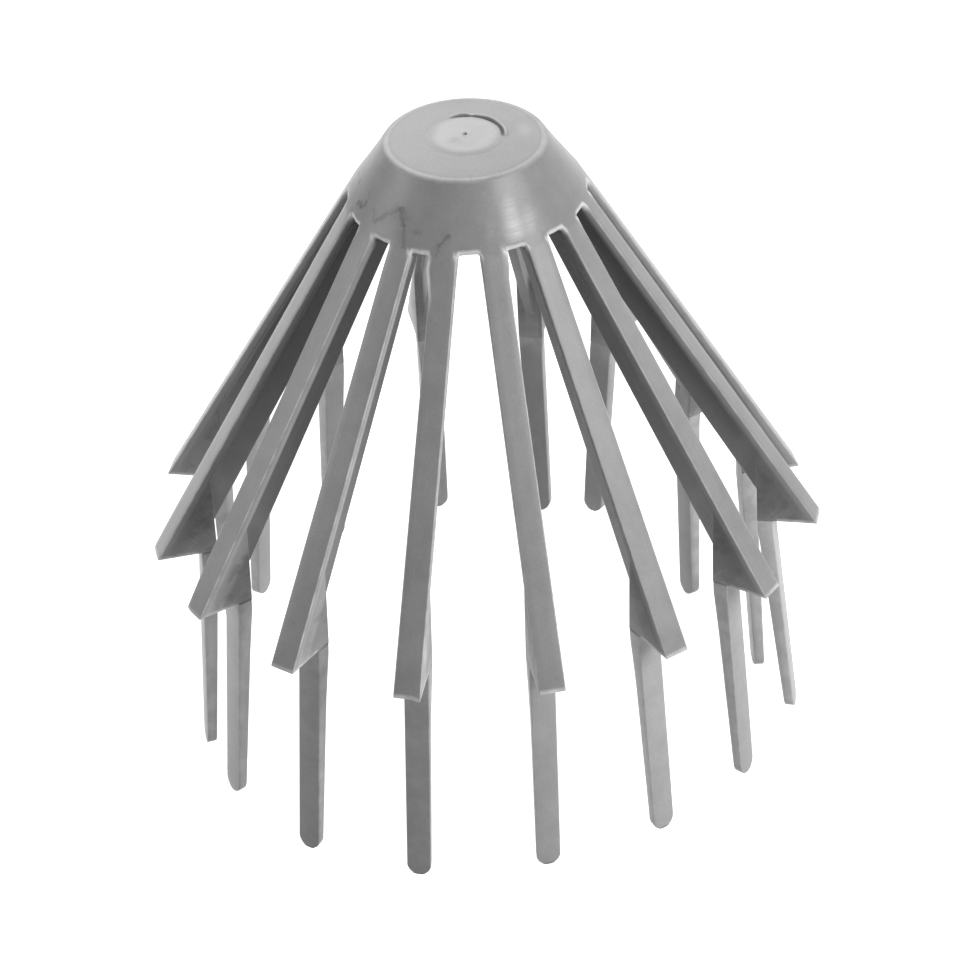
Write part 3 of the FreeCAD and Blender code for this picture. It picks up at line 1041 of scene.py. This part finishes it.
    # the top: darker in the groove and the line inside the rim, painted shade in the
    # crater, then the flash with painted shade at its foot and paler along its ridge
    t = topRelief
    for middle, width, strength in ((t["grooveRadius"], 0.22, 0.06), (t["lineRadius"], 0.22, 0.08),
                                    (0.0, t["craterRadius"], 0.8)):
        ring = ramp(calc("ABSOLUTE", calc("SUBTRACT", radius, middle)), width, 0.25 * width)
        tone = times(tone, without(times(ring, onTop, strength)))
    around = times(calc("ARCTAN2", y, x), 180.0 / math.pi)
    sweep = times(ramp(around, t["lipStart"], t["lipStart"] + t["lipRiseAngle"]),
                  ramp(around, t["lipEnd"], t["lipEnd"] - t["lipFallAngle"]), onTop)
    for middle, width, strength in ((t["lipRadius"] - t["lipFoot"], 0.45, -0.55),
                                    (t["lipRadius"] + 0.15, 0.28, 0.5)):
        ring = ramp(calc("ABSOLUTE", calc("SUBTRACT", radius, middle)), width, 0.3 * width)
        tone = times(tone, calc("MULTIPLY_ADD", times(ring, sweep), strength, 1.0))
    fromSmudge = calc("MULTIPLY_ADD", wander, 0.8, vector("DISTANCE", place, plastic["padSmudge"]))
    tone = times(tone, within(fromSmudge, "padSmudge", plastic["padSmudgeTone"], 1.0))

    def connect(value, name):
        feed(tree, value, shader.inputs[name])

    connect(add("ShaderNodeCombineXYZ", tone, tone, tone)[0], "Base Color")
    rough, spread = plastic["roughness"], plastic["roughRange"]
    rough = ramp(mottle, 0.3, 0.7, rough - spread, rough + spread)
    rough = calc("ADD", rough, times(onTop, plastic["topRougher"]))
    connect(calc("SUBTRACT", rough, times(paintedSheen, 0.4)), "Roughness")
    connect(plastic["sheen"], "Sheen Weight")
    connect(plastic["sheenRoughness"], "Sheen Roughness")
    height = calc("ADD", calc("MULTIPLY_ADD", mottle, 1.5, grain), times(hairs, -0.6))
    bump = tree.nodes.new("ShaderNodeBump")
    bump.inputs["Strength"].default_value = plastic["bump"]
    bump.inputs["Distance"].default_value = plastic["bumpDepth"] * mm
    feed(tree, height, bump.inputs["Height"])
    connect(bump.outputs[0], "Normal")
    return material


print("materials")
grey = greyPlastic()
print("leaf filter")
leafFilter = buildFilter(grey)
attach(leafFilter, "root")
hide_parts("leaf_filter")

check = bmesh.new()
check.from_mesh(leafFilter.data)
print("faces", len(check.faces), "open edges", sum(1 for e in check.edges if not e.is_manifold),
      "volume cm3", check.calc_volume() * 1e6)
check.free()

camera = {
    "target": (1.141, 0.0, 1.007),
    "distance": 672.4,
    "elevation": 35.863,
    "roll": -2.58,
    "turn": 0.485,
    "lens": 136.96,
    "sensor": 36.0,
}


def placeCamera():
    data = bpy.data.cameras.new("camera")
    data.lens = camera["lens"]
    data.sensor_width = camera["sensor"]
    data.clip_start, data.clip_end = 0.01, 20.0
    elevation, roll = math.radians(camera["elevation"]), math.radians(camera["roll"])
    back = Vector((0.0, -math.cos(elevation), math.sin(elevation)))
    right = Vector((1.0, 0.0, 0.0))
    up = right.cross(-back)
    x = right * math.cos(roll) + up * math.sin(roll)
    y = up * math.cos(roll) - right * math.sin(roll)
    place = Matrix((x, y, back)).transposed().to_4x4()
    place.translation = (Vector(camera["target"]) + back * camera["distance"]) * mm
    holder = bpy.data.objects.new("camera", data)
    scene.collection.objects.link(holder)
    holder.matrix_world = Matrix.Rotation(math.radians(camera["turn"]), 4, "Z") @ place
    scene.camera = holder


# Soft lamps round the object: turn from the front towards +X, height angle,
# power
lamps = {
    "key": (55.0, 34.0, 6.0),
    "backLeft": (-158.0, 38.0, 4.7),
    "backRight": (160.0, 38.0, 2.8),
    "left": (-88.0, 22.0, 2.5),
}
room = {
    "level": 0.02,
    "mirroredSky": 0.8,      # the sky that the plastic mirrors, against white
    "lampSize": 0.5,
    "lampDistance": 0.9,
    "floorTone": 0.7,
    "floorGlow": 0.75,
    "nearFloor": 0.3,        # the floor fades to white between these radii
    "farFloor": 0.9,
    "floorSize": 3.0,
}
white = (1.0, 1.0, 1.0, 1.0)


def placeLights():
    world = bpy.data.worlds.new("studio")
    scene.world = world
    world.use_nodes = True
    tree = world.node_tree
    filling = tree.nodes["Background"]
    filling.inputs["Color"].default_value = white
    filling.inputs["Strength"].default_value = room["level"]
    # white behind the object, a little greyer where the plastic mirrors it
    seen = tree.nodes.new("ShaderNodeBackground")
    seen.inputs["Color"].default_value = white
    path = tree.nodes.new("ShaderNodeLightPath").outputs
    mirrored = room["mirroredSky"]
    sky = mathNode(tree, "MULTIPLY_ADD", path["Is Camera Ray"], 1.0 - mirrored, mirrored)
    feed(tree, sky, seen.inputs["Strength"])
    shown = mathNode(tree, "MAXIMUM", path["Is Camera Ray"], path["Is Glossy Ray"])
    shown = mathNode(tree, "MAXIMUM", shown, path["Is Transmission Ray"])
    mix = tree.nodes.new("ShaderNodeMixShader")
    for value, socket in zip((shown, filling.outputs[0], seen.outputs[0]), mix.inputs):
        feed(tree, value, socket)
    feed(tree, mix.outputs[0], tree.nodes["World Output"].inputs["Surface"])
    for name, (turn, rise, power) in lamps.items():
        lamp = bpy.data.lights.new(name, "AREA")
        lamp.energy = power
        lamp.shape = "DISK"
        lamp.size = room["lampSize"]
        holder = bpy.data.objects.new(name, lamp)
        scene.collection.objects.link(holder)
        turn, rise = math.radians(turn), math.radians(rise)
        towards = Vector((math.sin(turn) * math.cos(rise), -math.cos(turn) * math.cos(rise), math.sin(rise)))
        holder.location = towards * room["lampDistance"]
        holder.rotation_euler = towards.to_track_quat("Z", "Y").to_euler()


def placeFloor(level):
    size = room["floorSize"]
    mesh = bpy.data.meshes.new("floor")
    corners = [(-size, -size, level), (size, -size, level), (size, size, level), (-size, size, level)]
    mesh.from_pydata(corners, [], [(0, 1, 2, 3)])
    holder = bpy.data.objects.new("floor", mesh)
    scene.collection.objects.link(holder)
    material, tree, shader = newMaterial("paleFloor")
    tone = room["floorTone"]
    shader.inputs["Base Color"].default_value = (tone, tone, tone, 1.0)
    shader.inputs["Roughness"].default_value = 0.9
    shader.inputs["Specular IOR Level"].default_value = 0.0
    glow = tree.nodes.new("ShaderNodeEmission")
    path = tree.nodes.new("ShaderNodeLightPath").outputs
    shown = mathNode(tree, "MAXIMUM", path["Is Camera Ray"], path["Is Glossy Ray"])
    # the floor goes on white where the lamps no longer reach it
    away = tree.nodes.new("ShaderNodeVectorMath")
    away.operation = "LENGTH"
    feed(tree, tree.nodes.new("ShaderNodeTexCoord").outputs["Object"], away.inputs[0])
    fade = rampNode(tree, away.outputs["Value"], room["nearFloor"], room["farFloor"],
                    room["floorGlow"], 1.0, "LINEAR")
    feed(tree, mathNode(tree, "MULTIPLY", shown, fade), glow.inputs["Strength"])
    total = tree.nodes.new("ShaderNodeAddShader")
    feed(tree, shader.outputs[0], total.inputs[0])
    feed(tree, glow.outputs[0], total.inputs[1])
    feed(tree, total.outputs[0], tree.nodes["Material Output"].inputs["Surface"])
    mesh.materials.append(material)


print("camera, floor and light")
placeCamera()
placeLights()
placeFloor(cadBox[0][2])
scene.view_settings.view_transform = "Standard"
